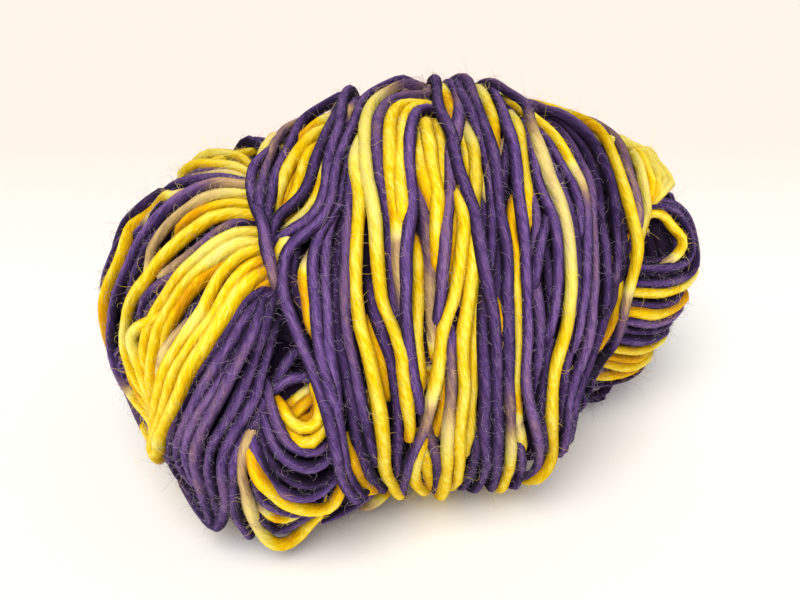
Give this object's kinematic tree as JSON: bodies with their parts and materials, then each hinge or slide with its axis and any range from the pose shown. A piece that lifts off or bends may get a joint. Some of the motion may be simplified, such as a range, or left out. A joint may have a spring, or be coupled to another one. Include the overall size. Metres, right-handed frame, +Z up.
{
  "type": "hank of yarn",
  "caption": "Hank of thick single-ply wool lying on its side: lengthwise loops folded into a lobe at each end, bound round the middle by crosswise turns.",
  "frame": {"origin": "middle of the footprint, on the surface the hank rests on", "axes": "+X along the hank towards its smaller lobe, +Z up; the side seen in the picture faces -Y"},
  "size_m": [0.1766, 0.118, 0.1152],
  "materials": {
    "wool": "matte, slightly fuzzy, variegated purple and yellow"
  },
  "bodies": {
    "root": {"yarn_hank": "wool"}
  },
  "joints": []
}
